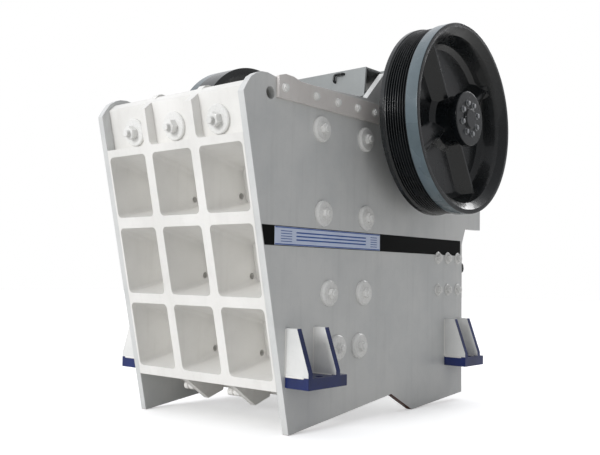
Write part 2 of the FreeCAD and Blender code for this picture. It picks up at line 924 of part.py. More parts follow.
def wheel_profile(side, grooved):
    """The flywheel's section, from the bore out along the inner side and back."""
    x0 = wheel_inner
    x1 = wheel_outer
    rim = wheel_radius
    inside = wheel_radius - wheel_rim
    web0 = x0 + 40
    web1 = web0 + wheel_web
    points = [
        (x0 + 6, journal),
        (x0 + 6, hub_radius + 14),
        (web0, hub_radius + 34),
        (web0, inside - 56),
        (x0 + 20, inside - 10),
        (x0, rim - 50),
        (x0, rim),
    ]
    if grooved:
        begin = x0 + wheel_flange
        low = rim - groove_sunk
        points += [(begin, rim), (begin + 5, low)]
        for i in range(groove_count):
            a = begin + 8 + groove_pitch * i
            points += [
                (a + 0.12 * groove_pitch, low),
                (a + 0.38 * groove_pitch, low - groove_deep),
                (a + 0.62 * groove_pitch, low - groove_deep),
                (a + 0.88 * groove_pitch, low),
            ]
        end = begin + 8 + groove_pitch * groove_count
        points += [(end + 4, low), (end + 8, rim)]
    points += [
        (x1 - 4, rim),
        (x1, rim - 4),
        (x1, rim - wheel_land),
        (x1 - 40, inside + 6),
        (web1 + 70, inside - 14),
        (web1 + 24, inside - 30),
        (web1, inside - 64),
        (web1, hub_radius + 44),
        (web1 + 30, hub_radius + 12),
        (x1 - cap_seat, hub_radius),
        (x1 - cap_seat, journal),
    ]
    return [(side * x, r) for x, r in points]


def arm_outline(sk, angle, near, far, half_near, half_far):
    """A four-sided outline along one arm, on a sketch square to the shaft."""
    c = math.sin(math.radians(angle))
    d = -math.cos(math.radians(angle))
    corners = []
    for along, aside in ((near, -half_near), (far, -half_far), (far, half_far), (near, half_near)):
        corners.append(
            (
                across(shaft_y) + as_size(along) * c - as_size(aside) * d,
                shaft_z + as_size(along) * d + as_size(aside) * c,
            )
        )
    polygon(sk, corners)


ARM_ANGLES = (31, 121, 211, 301)
for label, side, grooved in (("grooved_flywheel", 1, True), ("plain_flywheel", -1, False)):
    body = new_body(label)
    turned_x(body, wheel_profile(side, grooved))
    foot_x = wheel_inner + 40 + wheel_web - 4
    ridge_x = foot_x + arm_high
    reach = wheel_radius - wheel_rim
    for angle in ARM_ANGLES:
        base = new_sketch(body, "YZ_Plane", side * foot_x)
        arm_outline(base, angle, hub_radius - 10, reach, arm_wide * 0.8, arm_wide)
        ridge = new_sketch(body, "YZ_Plane", side * ridge_x)
        arm_outline(ridge, angle, hub_radius - 10, reach + 8, arm_ridge, arm_ridge)
        arm = body.newObject("PartDesign::AdditiveLoft", "Arm")
        arm.Profile = base
        arm.Sections = [ridge]
        arm.Ruled = True
        base.Visibility = False
        ridge.Visibility = False
        doc.recompute()

for word, side in SIDES:
    body = new_body(f"{word}_hub_cap")
    face = wheel_outer - cap_seat
    tall = cap_thick + boss_high
    disc(body, shaft_y, shaft_z, cap_radius, lowest(face, cap_thick, side), cap_thick)
    disc(body, shaft_y, shaft_z, boss_radius, lowest(face, tall, side), tall)

# ---------------------------------------------------------------- toggle plate and tension rod
toggle = new_body("toggle_plate")
cross_slab(
    toggle,
    [
        on_toggle(toggle_low, 0, -toggle_thick / 2),
        on_toggle(toggle_high, 0, -toggle_thick / 2),
        on_toggle(toggle_high, 0, toggle_thick / 2),
        on_toggle(toggle_low, 0, toggle_thick / 2),
    ],
    860,
)

rod = new_body("tension_rod")
rod_length = as_size(1335)
turned_slanted(
    rod, rod_start, rod_finish, [(0, 0), (0, rod_radius), (rod_length, rod_radius), (rod_length, 0)]
)
spring = new_body("tension_spring")
coils = []
wire = as_size(22)
for i in range(10):
    s = first_coil + wire * i
    coils += [(s, 52), (s + 4, 58), (s + 18, 58)]
last = first_coil + wire * 10
coils += [(last, 52)]
turned_slanted(
    spring,
    rod_start,
    rod_finish,
    [(first_coil, rod_radius + 0.5)] + coils + [(last, rod_radius + 0.5)],
)
nut = new_body("tension_nut")
turned_slanted(
    nut,
    rod_start,
    rod_finish,
    [
        (last, rod_radius + SEAT_GAP),
        (last, 66),
        (last + 18, 66),
        (last + 18, 44),
        (last + 60, 44),
        (last + 60, rod_radius + SEAT_GAP),
    ],
)

# ---------------------------------------------------------------- last checks and export
doc.recompute()
bad = []
for item in doc.Objects:
    if "Invalid" in item.State or "Error" in item.State:
        bad.append(f"{item.Label}: {item.State}")
for body in nodes:
    if body.Shape.isNull() or not body.Shape.isValid():
        bad.append(f"{body.Label}: shape is not valid")
if bad:
    raise RuntimeError("; ".join(bad))
os.makedirs("parts", exist_ok=True)
for body in nodes:
    body.Shape.exportStep(f"parts/{body.Label}.step")
print(len(nodes), "nodes written")
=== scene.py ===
import math

import bmesh
import bpy
from mathutils import Matrix, Vector, noise


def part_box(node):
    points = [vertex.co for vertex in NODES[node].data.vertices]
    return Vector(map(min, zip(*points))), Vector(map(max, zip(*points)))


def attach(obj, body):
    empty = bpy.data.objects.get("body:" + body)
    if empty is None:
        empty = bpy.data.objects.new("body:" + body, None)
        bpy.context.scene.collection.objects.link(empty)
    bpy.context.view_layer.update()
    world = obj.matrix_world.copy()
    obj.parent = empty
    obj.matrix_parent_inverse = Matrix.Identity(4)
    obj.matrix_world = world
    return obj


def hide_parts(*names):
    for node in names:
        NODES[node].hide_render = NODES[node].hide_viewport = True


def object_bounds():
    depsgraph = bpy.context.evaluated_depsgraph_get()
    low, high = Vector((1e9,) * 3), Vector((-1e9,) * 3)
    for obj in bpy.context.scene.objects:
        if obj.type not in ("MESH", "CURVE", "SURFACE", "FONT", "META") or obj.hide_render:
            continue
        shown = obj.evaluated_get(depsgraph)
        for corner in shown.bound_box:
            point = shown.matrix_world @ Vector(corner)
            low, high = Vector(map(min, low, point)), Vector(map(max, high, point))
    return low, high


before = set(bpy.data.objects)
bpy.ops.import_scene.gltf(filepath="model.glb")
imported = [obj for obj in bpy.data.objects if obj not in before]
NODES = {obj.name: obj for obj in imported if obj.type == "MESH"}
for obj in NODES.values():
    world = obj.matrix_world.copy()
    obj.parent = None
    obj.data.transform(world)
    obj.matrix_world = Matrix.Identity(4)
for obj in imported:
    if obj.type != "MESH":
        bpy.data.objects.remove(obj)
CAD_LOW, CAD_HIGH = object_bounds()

# The jaw crusher's looks: paint, bare steel, bolts, welds and the painted band around the CAD frame.
# Front wall towards -Y, grooved drive flywheel towards +X, floor at z = 0. Sizes in millimetres
# are turned to the frame's metres by MM.

MM = 0.001
SIDES = (("right", 1), ("left", -1))


def across(y):
    """Millimetres back from the front top edge, as the frame's Y in metres."""
    return CAD_LOW[1] + y * MM


# Driving sizes, in millimetres
PLATE_FACE = 650
PLATE_THICK = 46
REAR_EDGE = 2488
WALL_RUN, WALL_HEIGHT = 426, 1930
WALL_LEAN = WALL_RUN / WALL_HEIGHT
KEEL_NEAR, KEEL_FAR = 185.7, 229.7
SHAFT_BACK, SHAFT_HIGH = 1711, 1984
SHAFT = (0, across(SHAFT_BACK), SHAFT_HIGH * MM)
ROD_START = Vector((0, across(1290), 300 * MM))
ROD_ALONG = Vector((0, 1310, 260)).normalized()


# ------------------------------------------------------------------ shader helpers
def hex_colour(code):
    """An sRGB hex code as the linear colour that shaders want."""
    channels = [int(code[i : i + 2], 16) / 255 for i in (1, 3, 5)]
    linear = [c / 12.92 if c <= 0.04045 else ((c + 0.055) / 1.055) ** 2.4 for c in channels]
    return (*linear, 1.0)


def node(tree, kind, inputs=(), out=0, stops=(), **settings):
    """Adds one shader node with its settings and links, and returns the output asked for. Stops
    are the (position, hex colour) pairs of a colour ramp."""
    made = tree.nodes.new("ShaderNode" + kind)
    for name, value in settings.items():
        setattr(made, name, value)
    for socket, value in dict(inputs).items():
        if isinstance(value, bpy.types.NodeSocket):
            tree.links.new(value, made.inputs[socket])
        else:
            made.inputs[socket].default_value = value
    for extra in range(len(stops) - 2):
        made.color_ramp.elements.new(0.5)
    for index, (position, code) in enumerate(stops):
        made.color_ramp.elements[index].position = position
        made.color_ramp.elements[index].color = hex_colour(code)
    return made.outputs[out]


# A colour Mix node's own sockets: its two colours in, and the mixed colour out
FIRST, SECOND, MIXED = 6, 7, 2


def per_metre(size_mm):
    """A noise scale whose blotches are about size_mm across."""
    return 1 / (size_mm * MM)


def new_material(name, roughness, metallic=0.0, coat=0.0, ior=1.5):
    """A material with its shader set for one finish; a metal keeps the shader's own IOR."""
    made = bpy.data.materials.new(name)
    made.use_nodes = True
    tree = made.node_tree
    shader = tree.nodes["Principled BSDF"]
    shader.inputs["Roughness"].default_value = roughness
    shader.inputs["Metallic"].default_value = metallic
    shader.inputs["Coat Weight"].default_value = coat
    if not metallic:
        shader.inputs["IOR"].default_value = ior
    return made, tree, shader


# ------------------------------------------------------------------ materials
def gloss_enamel(name, paint, shade, dust_and_shade, roughness=0.34):
    """Machinery enamel sprayed over cast and flame-cut steel: an even colour with a soft gloss,
    slight waves from the metal under it, painted shade greying the corners, and stone dusting on
    what faces up."""
    made, tree, shader = new_material(name, roughness, coat=0.2)
    place = node(tree, "TexCoord", out="Object")
    cloud = {"Vector": place, "Scale": per_metre(420), "Detail": 5.0, "Roughness": 0.6}
    film = node(tree, "TexNoise", cloud)
    colour = node(tree, "ValToRGB", {0: film}, stops=((0.34, shade), (0.62, paint)))

    grit = {"Vector": place, "Scale": per_metre(16), "Detail": 4.0, "Roughness": 0.7}
    speck = node(tree, "TexNoise", grit)
    dusty = node(tree, "ValToRGB", {0: speck}, stops=((0.33, dust_and_shade), (0.39, "#FFFFFF")))
    tinted = {0: 0.06, FIRST: colour, SECOND: dusty}
    colour = node(tree, "Mix", tinted, MIXED, data_type="RGBA", blend_type="MULTIPLY")

    upright = node(tree, "Mapping", {"Vector": place, "Scale": (22, 22, 1.4)})
    runs = node(tree, "TexNoise", {"Vector": upright, "Scale": 1.0, "Detail": 4.0})
    streaks = node(tree, "ValToRGB", {0: runs}, stops=((0.34, dust_and_shade), (0.46, "#FFFFFF")))
    tinted = {0: 0.05, FIRST: colour, SECOND: streaks}
    colour = node(tree, "Mix", tinted, MIXED, data_type="RGBA", blend_type="MULTIPLY")

    # Painted shade: corners and hollows found by ambient occlusion are greyed, standing in for
    # shade.
    corner_occlusion = node(tree, "AmbientOcclusion", {"Distance": 90 * MM}, "AO", samples=6)
    painted_corner_shade = node(tree, "ValToRGB", {0: corner_occlusion}, stops=((0.25, dust_and_shade), (0.8, "#FFFFFF")))
    tinted = {0: 0.12, FIRST: colour, SECOND: painted_corner_shade}
    colour = node(tree, "Mix", tinted, MIXED, data_type="RGBA", blend_type="MULTIPLY")

    facing = node(tree, "NewGeometry", out="Normal")
    upward = node(tree, "SeparateXYZ", {"Vector": facing}, "Z")
    level = {"Value": upward, "From Min": 0.6, "From Max": 1.0, "To Max": 0.22}
    lying = node(tree, "Math", {0: node(tree, "MapRange", level), 1: film}, operation="MULTIPLY")
    settled = {0: lying, FIRST: colour, SECOND: hex_colour(dust_and_shade)}
    colour = node(tree, "Mix", settled, MIXED, data_type="RGBA")
    tree.links.new(colour, shader.inputs["Base Color"])

    uneven = {"Value": speck, "To Min": roughness - 0.06, "To Max": roughness + 0.14}
    tree.links.new(node(tree, "MapRange", uneven), shader.inputs["Roughness"])
    swell = node(tree, "TexNoise", {"Vector": place, "Scale": per_metre(60), "Detail": 2.0})
    wavy = node(tree, "Bump", {"Height": swell, "Distance": 0.8 * MM, "Strength": 0.35})
    skin = node(tree, "TexNoise", {"Vector": place, "Scale": per_metre(5), "Detail": 2.0})
    fine = {"Height": skin, "Distance": 0.12 * MM, "Strength": 0.5, "Normal": wavy}
    tree.links.new(node(tree, "Bump", fine), shader.inputs["Normal"])
    return made, tree, shader, colour


def foot_enamel():
    """The feet: white enamel gussets whose sloping edges, and the base plates, are navy."""
    made, tree, shader, white = gloss_enamel(
        "white_and_navy_enamel_on_feet", "#ECECEA", "#DDDEDD", "#A9A69E"
    )
    place = node(tree, "TexCoord", out="Object")
    height = node(tree, "SeparateXYZ", {"Vector": place}, "Z")
    facing = node(tree, "NewGeometry", out="Normal")
    out_x = node(tree, "SeparateXYZ", {"Vector": facing}, "X")
    sideways = node(tree, "Math", {0: out_x}, operation="ABSOLUTE")
    edge = node(tree, "Math", {0: sideways, 1: 0.5}, operation="GREATER_THAN")
    base_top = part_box("right_front_foot")[0][2] + 69 * MM
    base = node(tree, "Math", {0: height, 1: base_top}, operation="LESS_THAN")
    navy_part = node(tree, "Math", {0: edge, 1: base}, operation="MAXIMUM")
    film = node(tree, "TexNoise", {"Vector": place, "Scale": per_metre(160), "Detail": 4.0})
    navy = node(tree, "ValToRGB", {0: film}, stops=((0.3, "#051A50"), (0.7, "#06236B")))
    two_colours = {0: navy_part, FIRST: white, SECOND: navy}
    colour = node(tree, "Mix", two_colours, MIXED, data_type="RGBA")
    tree.links.new(colour, shader.inputs["Base Color"])
    return made


def side_plate_enamel():
    """White enamel a little greyer than the wall's, that greyness being painted shade for the drive
    side; it stops at the flame-cut underside notch, where red oxide primer shows.
    """
    # Its white and its darker tone are greyer than the wall's white: painted shade.
    made, tree, shader, white = gloss_enamel(
        "shaded_white_enamel_on_flame_cut_plate", "#DFE0DF", "#D3D5D5", "#9D9C96"
    )
    place = node(tree, "TexCoord", out="Object")
    height = node(tree, "SeparateXYZ", {"Vector": place}, "Z")
    facing = node(tree, "NewGeometry", out="Normal")
    upward = node(tree, "SeparateXYZ", {"Vector": facing}, "Z")
    under = node(tree, "Math", {0: upward, 1: -0.3}, operation="LESS_THAN")
    low = node(tree, "Math", {0: height, 1: 160 * MM}, operation="LESS_THAN")
    bare = node(tree, "Math", {0: under, 1: low}, operation="MULTIPLY")
    mottle = {"Vector": place, "Scale": per_metre(30), "Detail": 5.0, "Roughness": 0.7}
    oxide = node(tree, "TexNoise", mottle)
    primer = node(tree, "ValToRGB", {0: oxide}, stops=((0.35, "#4E2A22"), (0.65, "#7A4636")))
    two_colours = {0: bare, FIRST: white, SECOND: primer}
    colour = node(tree, "Mix", two_colours, MIXED, data_type="RGBA")
    tree.links.new(colour, shader.inputs["Base Color"])
    return made


def wheel_enamel():
    """Turned cast iron wheels in black gloss enamel: the smooth rim's outward faces carry a painted
    reflection of the room as a grey sheen; grooves and dish stay deep black, with a thin dusty haze."""
    rim_start, sheen_start = 600 * MM, 1010 * MM
    made, tree, shader = new_material("black_gloss_enamel_on_turned_iron", 0.34, coat=0.3)
    place = node(tree, "TexCoord", out="Object")
    film = node(tree, "TexNoise", {"Vector": place, "Scale": per_metre(180), "Detail": 4.0})
    deep = node(tree, "ValToRGB", {0: film}, stops=((0.3, "#080B0D"), (0.7, "#101518")))
    # Painted reflection: a grey sheen for the rim, standing in for the bright room mirrored in black
    # gloss.
    painted_sheen = node(tree, "ValToRGB", {0: film}, stops=((0.3, "#525F65"), (0.7, "#616F76")))

    # Where the painted sheen goes: past the grooves, far out from the shaft, on faces that look
    # round the wheel.
    spot_x = node(tree, "SeparateXYZ", {"Vector": place}, "X")
    out_x = node(tree, "Math", {0: spot_x}, operation="ABSOLUTE")
    from_shaft = node(tree, "VectorMath", {0: place, 1: SHAFT}, operation="SUBTRACT")
    radial = node(tree, "VectorMath", {0: from_shaft, 1: (0, 1, 1)}, operation="MULTIPLY")
    reach = node(tree, "VectorMath", {0: radial}, "Value", operation="LENGTH")
    at_rim = node(tree, "Math", {0: reach, 1: rim_start}, operation="GREATER_THAN")
    smooth = node(tree, "Math", {0: out_x, 1: sheen_start}, operation="GREATER_THAN")
    rim = node(tree, "Math", {0: at_rim, 1: smooth}, operation="MULTIPLY")
    facing = node(tree, "NewGeometry", out="Normal")
    facing_x = node(tree, "SeparateXYZ", {"Vector": facing}, "X")
    endways = node(tree, "Math", {0: facing_x}, operation="ABSOLUTE")
    around = node(tree, "Math", {0: endways, 1: 0.6}, operation="LESS_THAN")
    band = node(tree, "Math", {0: rim, 1: around}, operation="MULTIPLY")
    two_colours = {0: band, FIRST: deep, SECOND: painted_sheen}
    colour = node(tree, "Mix", two_colours, MIXED, data_type="RGBA")

    grit = {"Vector": place, "Scale": per_metre(14), "Detail": 4.0, "Roughness": 0.7}
    speck = node(tree, "TexNoise", grit)
    haze = node(tree, "ValToRGB", {0: speck}, stops=((0.5, "#000000"), (0.72, "#6E7476")))
    dusted = {0: 0.06, FIRST: colour, SECOND: haze}
    colour = node(tree, "Mix", dusted, MIXED, data_type="RGBA", blend_type="SCREEN")
    tree.links.new(colour, shader.inputs["Base Color"])

    uneven = {"Value": film, "To Min": 0.2, "To Max": 0.34}
    tree.links.new(node(tree, "MapRange", uneven), shader.inputs["Roughness"])
    turned_way = node(tree, "Mapping", {"Vector": place, "Scale": (420, 3, 3)})
    turning = node(tree, "TexNoise", {"Vector": turned_way, "Scale": 1.0})
    marks = node(tree, "Bump", {"Height": turning, "Distance": 0.05 * MM, "Strength": 0.3})
    swell = node(tree, "TexNoise", {"Vector": place, "Scale": per_metre(60), "Detail": 2.0})
    wavy = {"Height": swell, "Distance": 0.3 * MM, "Strength": 0.2, "Normal": marks}
    tree.links.new(node(tree, "Bump", wavy), shader.inputs["Normal"])
    return made


def manganese_steel():
    """As-cast manganese steel wearing plates: a dull brown-grey skin, pitted all over."""
    made, tree, shader = new_material("as_cast_manganese_steel", 0.58, metallic=0.8)
    place = node(tree, "TexCoord", out="Object")
    mottle = {"Vector": place, "Scale": per_metre(90), "Detail": 6.0, "Roughness": 0.65}
    skin = node(tree, "TexNoise", mottle)
    browns = ((0.3, "#4A4440"), (0.5, "#6A6560"), (0.7, "#7E6A58"))
    colour = node(tree, "ValToRGB", {0: skin}, stops=browns)
    tree.links.new(colour, shader.inputs["Base Color"])
    pitted = node(tree, "TexNoise", {"Vector": place, "Scale": per_metre(9), "Detail": 4.0})
    pits = node(tree, "Bump", {"Height": pitted, "Distance": 0.8 * MM, "Strength": 0.7})
    tree.links.new(pits, shader.inputs["Normal"])
    return made


def turned_steel():
    """Bright turned steel with a thin film of oil and fine turning marks."""
    made, tree, shader = new_material("bright_turned_steel", 0.3, metallic=1.0)
    place = node(tree, "TexCoord", out="Object")
    film = node(tree, "TexNoise", {"Vector": place, "Scale": per_metre(70), "Detail": 4.0})
    colour = node(tree, "ValToRGB", {0: film}, stops=((0.3, "#8E9092"), (0.7, "#B4B6B8")))
    tree.links.new(colour, shader.inputs["Base Color"])
    turned_way = node(tree, "Mapping", {"Vector": place, "Scale": (900, 6, 6)})
    turning = node(tree, "TexNoise", {"Vector": turned_way, "Scale": 1.0})
    marks = node(tree, "Bump", {"Height": turning, "Distance": 0.05 * MM, "Strength": 0.4})
    tree.links.new(marks, shader.inputs["Normal"])
    return made


def masked_enamel(name, paint, shade):
    """Satin enamel sprayed through a mask: one thin even coat, a little cloudy."""
    made, tree, shader = new_material(name, 0.7, ior=1.25)
    place = node(tree, "TexCoord", out="Object")
    film = node(tree, "TexNoise", {"Vector": place, "Scale": per_metre(120), "Detail": 4.0})
    colour = node(tree, "ValToRGB", {0: film}, stops=((0.3, shade), (0.7, paint)))
    tree.links.new(colour, shader.inputs["Base Color"])
    skin = node(tree, "TexNoise", {"Vector": place, "Scale": per_metre(5), "Detail": 2.0})
    peel = node(tree, "Bump", {"Height": skin, "Distance": 0.1 * MM, "Strength": 0.4})
    tree.links.new(peel, shader.inputs["Normal"])
    return made


def enamel(name, paint, shade, dust_and_shade, roughness=0.34):
    """Gloss enamel of one colour, as it is."""
    return gloss_enamel(name, paint, shade, dust_and_shade, roughness)[0]


WHITE = enamel("white_enamel_on_cast_steel", "#F4F3F0", "#EAE9E6", "#B4B0A8")
GUARD_WHITE = enamel("white_enamel_on_rolled_bar", "#E8E4E1", "#DAD5D1", "#A8A199")
# Side plates: a greyer white than the wall's, as painted shade.
PLATE_WHITE = side_plate_enamel()
BOLT_WHITE = enamel("white_enamel_on_bolts", "#F6F6F4", "#E6E6E4", "#A6A6A2", 0.24)
FOOT_WHITE_AND_NAVY = foot_enamel()
BAND_BLACK = masked_enamel("black_enamel_band", "#050707", "#030404")
PANEL_BLUE = masked_enamel("pale_blue_enamel_panel", "#DCE6FC", "#D3DEF8")
PANEL_NAVY = masked_enamel("navy_enamel_lines", "#4A6CB4", "#4060A8")
HOOD_GREY = enamel("grey_enamel_on_bent_sheet", "#999D9D", "#8F9393", "#83827B")
WHEEL_BLACK = wheel_enamel()
MANGANESE = manganese_steel()
STEEL = turned_steel()
BAR_BLACK = enamel("black_enamel_on_spring", "#1C1E20", "#141618", "#0C0D0E")


def finish_of(name):
    """The material a CAD piece is finished in."""
    if "flywheel" in name or "hub_cap" in name:
        return WHEEL_BLACK
    if "foot" in name:
        return FOOT_WHITE_AND_NAVY
    if "die" in name or "cheek" in name:
        return MANGANESE
    if name in ("eccentric_shaft", "tension_rod", "tension_nut", "toggle_plate"):
        return STEEL
    if "bolts" in name:
        return BOLT_WHITE
    if "spring" in name:
        return BAR_BLACK
    if "side_plate" in name:
        return PLATE_WHITE
    if "hood" in name:
        return HOOD_GREY
    if "guard" in name:
        return GUARD_WHITE
    return WHITE


for name in NODES:
    NODES[name].data.materials.clear()
    NODES[name].data.materials.append(finish_of(name))


# ------------------------------------------------------------------ mesh helpers
def new_piece(name, mesh, body, material, stands_for=()):
    """A named piece that rides on a body, in one finish."""
    piece = bpy.data.objects.new(name, mesh)
    bpy.context.scene.collection.objects.link(piece)
    if not mesh.materials:
        mesh.materials.append(material)
    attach(piece, body)
    if stands_for:
        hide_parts(*stands_for)
    return piece


def mesh_from(shape, name, smooth_to=30):
    """A mesh from a worked shape, smooth across edges flatter than smooth_to degrees."""
    mesh = bpy.data.meshes.new(name)
    bmesh.ops.recalc_face_normals(shape, faces=shape.faces)
    shape.to_mesh(mesh)
    shape.free()
    mesh.shade_smooth()
    mesh.set_sharp_from_angle(angle=math.radians(smooth_to))
    return mesh


def round_edges(piece, width_mm, segments=2):
    """Rounds every edge sharper than 28 degrees."""
    made = piece.modifiers.new("rounded_edges", "BEVEL")
    made.width = width_mm * MM
    made.segments = segments
    made.limit_method = "ANGLE"
    made.angle_limit = math.radians(28)
    made.harden_normals = True
    made.miter_outer = "MITER_ARC"


def softened(name, body, width_mm, segments=2):
    """A CAD piece again, with the rounded edges that its casting or grinding leaves."""
    shape = bmesh.new()
    shape.from_mesh(NODES[name].data)
    bmesh.ops.remove_doubles(shape, verts=shape.verts, dist=0.02 * MM)
    bmesh.ops.dissolve_limit(
        shape, angle_limit=math.radians(0.6), verts=shape.verts, edges=shape.edges
    )
    mesh = mesh_from(shape, name + "_softened", 28)
    piece = new_piece(name + "_softened", mesh, body, finish_of(name), (name,))
    round_edges(piece, width_mm, segments)


def turned(shape, profile, place, segments, corners=0, flat=None):
    """A turned form: (radius, height) rings about local Z. With corners, rings wider than flat
    become that many sides, as on a nut, and their top edge is chamfered round."""
    rings = []
    for radius, height in profile:
        ring = []
        for i in range(segments):
            angle = 2 * math.pi * i / segments
            reach = radius
            level = height
            if corners and radius > flat:
                bend = (angle % (2 * math.pi / corners)) - math.pi / corners
                reach = flat / math.cos(bend)
                level = height - (reach - flat) * 0.55 if height > profile[1][1] else height
            spot = Vector((reach * math.cos(angle), reach * math.sin(angle), level)) * MM
            ring.append(shape.verts.new(place @ spot))
        rings.append(ring)
    for below, above in zip(rings, rings[1:]):
        for i in range(segments):
            j = (i + 1) % segments
            shape.faces.new((below[i], below[j], above[j], above[i]))
    shape.faces.new(rings[0][::-1])
    shape.faces.new(rings[-1])


def pointing(spot, outward, spin=0.0):
    """A place at spot whose local Z points outward."""
    turn = Vector(outward).to_track_quat("Z", "Y").to_matrix().to_4x4()
    return Matrix.Translation(spot) @ turn @ Matrix.Rotation(spin, 4, "Z")


def islands(name):
    """The separate solids of a CAD piece, as lists of corner places."""
    shape = bmesh.new()
    shape.from_mesh(NODES[name].data)
    bmesh.ops.remove_doubles(shape, verts=shape.verts, dist=0.02 * MM)
    left = set(shape.verts)
    groups = []
    while left:
        start = min(left, key=lambda v: v.index)
        group, queue = {start}, [start]
        while queue:
            for edge in queue.pop().link_edges:
                for near in edge.verts:
                    if near not in group:
                        group.add(near)
                        queue.append(near)
        groups.append([v.co.copy() for v in group])
        left -= group
    shape.free()
    return groups


def seats(name, outward):
    """Where each bolt of a CAD bolt group meets its plate: the middle of its lowest ring."""
    out = Vector(outward).normalized()
    found = []
    for corners in islands(name):
        low = min(c.dot(out) for c in corners)
        ring = [c for c in corners if c.dot(out) < low + 0.2 * MM]
        middle = [(min(c[k] for c in ring) + max(c[k] for c in ring)) / 2 for k in range(3)]
        found.append(Vector(middle))
    return found


# ------------------------------------------------------------------ softened castings and plates
for name, width_mm in (
    ("front_wall", 7),
    ("rear_crossbeam", 5),
    ("pitman", 6),
    ("pitman_hood", 4),
):
    softened(name, "frame", width_mm)
for word, side in SIDES:
    softened(f"{word}_side_plate", "frame", 3)
    softened(f"{word}_top_guard", "frame", 3)
    for place in ("front", "rear"):
        softened(f"{word}_{place}_foot", "frame", 3)
    softened(f"{word}_bearing_housing", "frame", 4)
    softened(f"{word}_hub_cap", "rotor", 6, 3)
softened("grooved_flywheel", "rotor", 2.5)
softened("plain_flywheel", "rotor", 2.5)


# ------------------------------------------------------------------ nuts, washers and studs
def hex_nut(shape, place, flat, low, high):
    """A hexagon nut whose top edge is chamfered round; flat is half its width over flats."""
    corner = flat * 1.16
    profile = ((flat * 0.9, low), (corner, low), (corner, high), (flat * 0.96, high))
    turned(shape, profile, place, segments=48, corners=6, flat=flat)


def stud(shape, place, radius, low, high):
    """A threaded stud end with a chamfered tip."""
    pitch, chamfer = 4.0, 3
    profile = [(radius, low)]
    level = low
    while level + pitch < high - chamfer:
        profile += [(radius, level + pitch * 0.4), (radius - pitch * 0.5, level + pitch * 0.75)]
        level += pitch
    profile += [(radius, high - chamfer), (radius - chamfer, high)]
    turned(shape, profile, place, segments=20)


def washer(shape, place, radius, thick, bevel):
    """A round washer whose outer edge is bevelled; its bore is hidden by the nut."""
    profile = ((radius, 0), (radius, thick - bevel), (radius - bevel, thick), (radius * 0.2, thick))
    turned(shape, profile, place, segments=48)


def dress_bolts(group, outward, washer_size, nut_size, stud_size):
    """Washer (radius, thickness, bevel), hexagon nut (half width, top) and stud (radius, top)
    at each seat of a CAD bolt group."""
    shape = bmesh.new()
    for index, seat in enumerate(seats(group, outward)):
        place = pointing(seat, outward, 0.35 + index * 1.7)
        washer(shape, place, *washer_size)
        hex_nut(shape, place, nut_size[0], washer_size[1], nut_size[1])
        stud(shape, place, stud_size[0], nut_size[1] - 2, stud_size[1])
    mesh = mesh_from(shape, group + "_dressed", 32)
    new_piece(group + "_dressed", mesh, "frame", BOLT_WHITE, (group,))


WALL_OUT = Vector((0, -1, -WALL_LEAN)).normalized()
for word, side in SIDES:
    out = (side, 0, 0)
    dress_bolts(f"{word}_liner_bolts", out, (80, 24, 11), (29, 48), (21, 58))
    dress_bolts(f"{word}_beam_bolts", out, (44, 8, 3), (25, 28), (15, 34))
    dress_bolts(f"{word}_guard_bolts", out, (28, 5, 2), (19, 17), (12, 20))
dress_bolts("jaw_bolts", WALL_OUT, (88, 18, 5), (38, 60), (22, 87))


def hub_bolts(word, side):
    """Eight bolts on the hub cap, around its boss, and the spigot ring that seats inside it."""
    count, circle, boss_high = 8, 104, 14
    low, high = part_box(f"{word}_hub_cap")
    outer = high[0] if side > 0 else low[0]
    middle = Vector((outer, (low[1] + high[1]) / 2, (low[2] + high[2]) / 2))
    face = middle - Vector((side * boss_high * MM, 0, 0))
    shape = bmesh.new()
    for i in range(count):
        angle = 2 * math.pi * i / count + 0.3
        spot = face + Vector((0, math.cos(angle), math.sin(angle))) * circle * MM
        place = pointing(spot, (side, 0, 0), i)
        washer(shape, place, 22, 3, 1)
        hex_nut(shape, place, 15, 3, 14)
    spigot = ((172, -60), (172, -46), (168, -43), (160, -43), (156, -60))
    turned(shape, spigot, pointing(middle, (side, 0, 0)), segments=72)
    name = f"{word}_hub_bolts"
    new_piece(name, mesh_from(shape, name, 32), "rotor", STEEL)


for word, side in SIDES:
    hub_bolts(word, side)


# ------------------------------------------------------------------ painted band and panel
def painted_patch(name, side, y_range, z_range, lift_mm, thick_mm, material, slant=0):
    """A thin upright patch of paint on a side plate's face, its place in millimetres; slant moves
    the front of its top edge."""
    low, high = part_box("right_side_plate" if side > 0 else "left_side_plate")
    face_x = high[0] if side > 0 else low[0]
    near = face_x + side * lift_mm * MM
    (front, rear), (bottom, top) = y_range, z_range
    outline = ((front, bottom), (rear, bottom), (rear, top), (front + slant, top))
    shape = bmesh.new()
    corners = [shape.verts.new((near, across(y), z * MM)) for y, z in outline]
    grown = bmesh.ops.extrude_face_region(shape, geom=[shape.faces.new(corners)])
    for item in grown["geom"]:
        if isinstance(item, bmesh.types.BMVert):
            item.co.x += side * thick_mm * MM
    piece = new_piece(name, mesh_from(shape, name), "frame", material)
    round_edges(piece, min(0.5, thick_mm * 0.4), 1)


def navy_line(name, side, y_range, low, high_mm):
    """A line of navy paint on the panel, proud by the thickness of the coats under it."""
    painted_patch(name, side, y_range, (low, low + high_mm), 3.0, 0.8, PANEL_NAVY)


